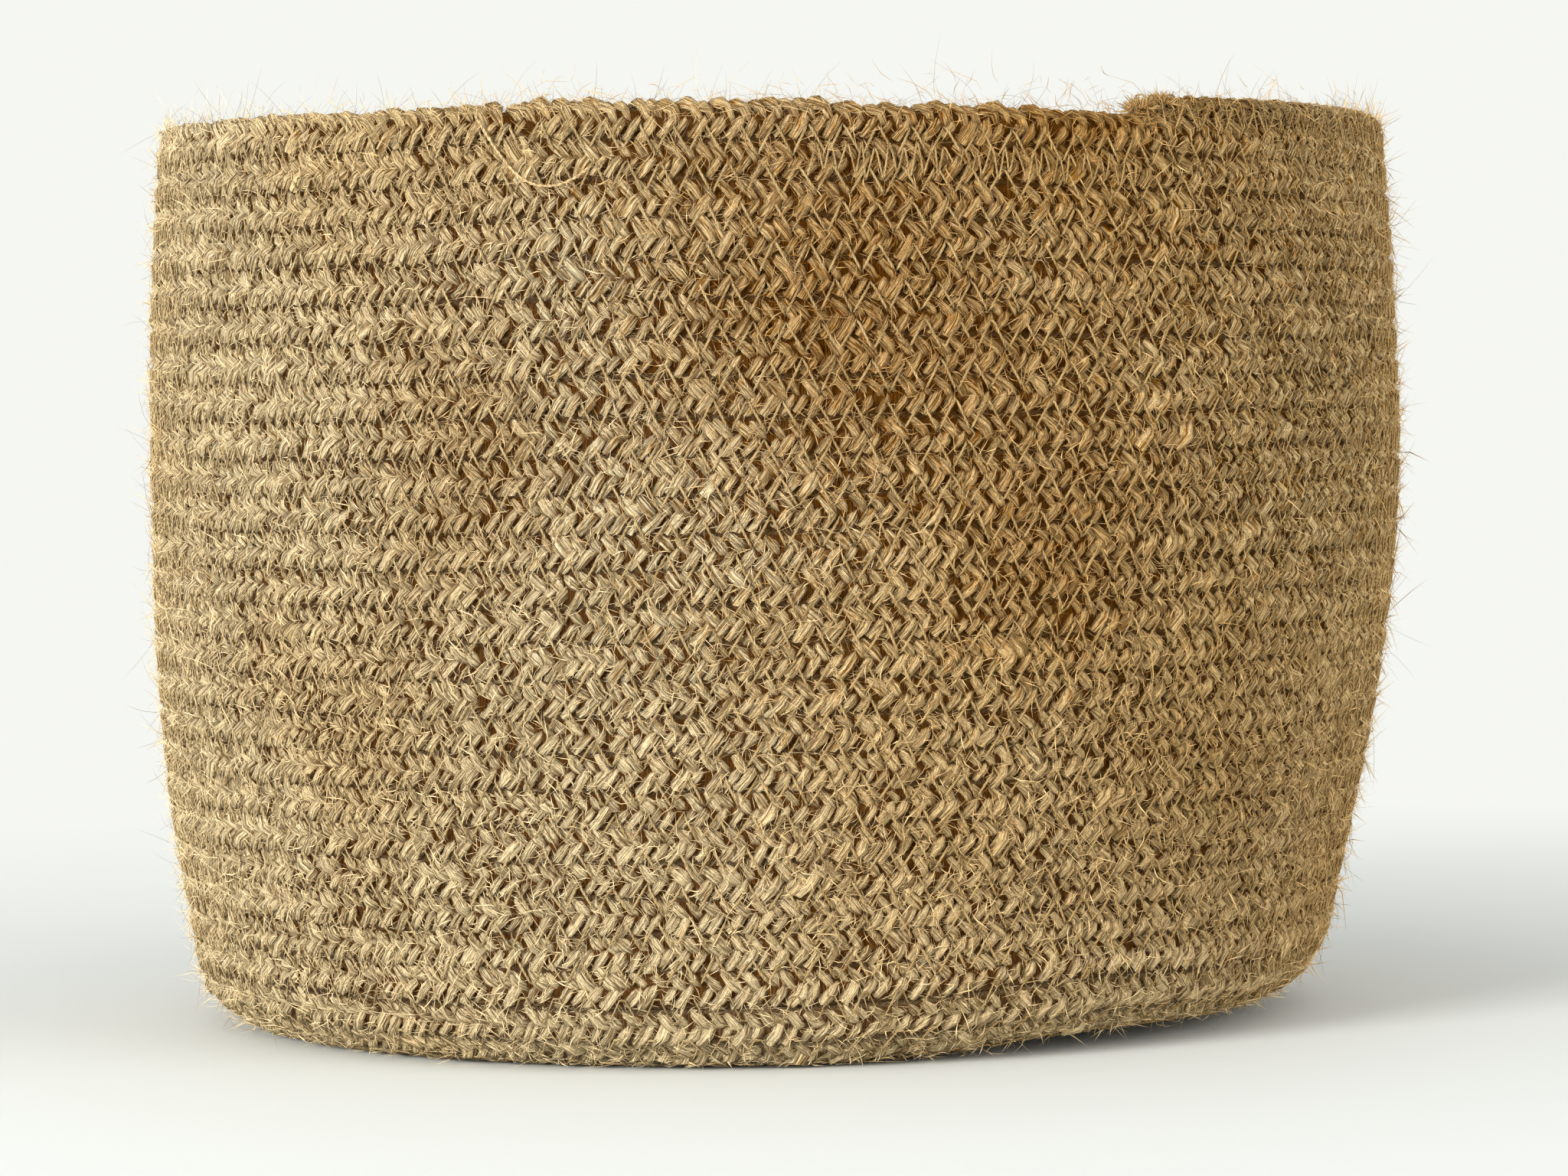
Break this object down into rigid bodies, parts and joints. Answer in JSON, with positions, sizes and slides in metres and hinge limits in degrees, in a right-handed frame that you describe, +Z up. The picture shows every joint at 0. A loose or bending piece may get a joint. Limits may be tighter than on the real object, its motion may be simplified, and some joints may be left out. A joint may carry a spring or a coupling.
{
  "type": "storage basket",
  "caption": "Round open basket of plaited jute cord, wound in one spiral from base to rim and sewn turn to turn.",
  "frame": {"origin": "on the floor, under the middle of the base", "axes": "+Z up through the open top, -Y towards the front, where the last turn of cord ends right of the middle"},
  "size_m": [0.3, 0.3, 0.2106],
  "materials": {
    "plaited_jute": "rough, fibrous, hairy",
    "sewing_thread": "twisted, slightly glossy",
    "cut_strand_end": "frayed"
  },
  "bodies": {
    "root": {"base_coil": "plaited_jute", "heel_coil": "plaited_jute", "lower_wall_coil": "plaited_jute", "middle_wall_coil": "plaited_jute", "upper_wall_coil": "plaited_jute", "rim_coil": "plaited_jute", "outer_seam_thread": "sewing_thread", "inner_seam_thread": "sewing_thread", "rim_lock_stitches": "sewing_thread", "rim_thread_float": "sewing_thread", "strand_end_1": "cut_strand_end", "strand_end_2": "cut_strand_end"}
  },
  "joints": []
}
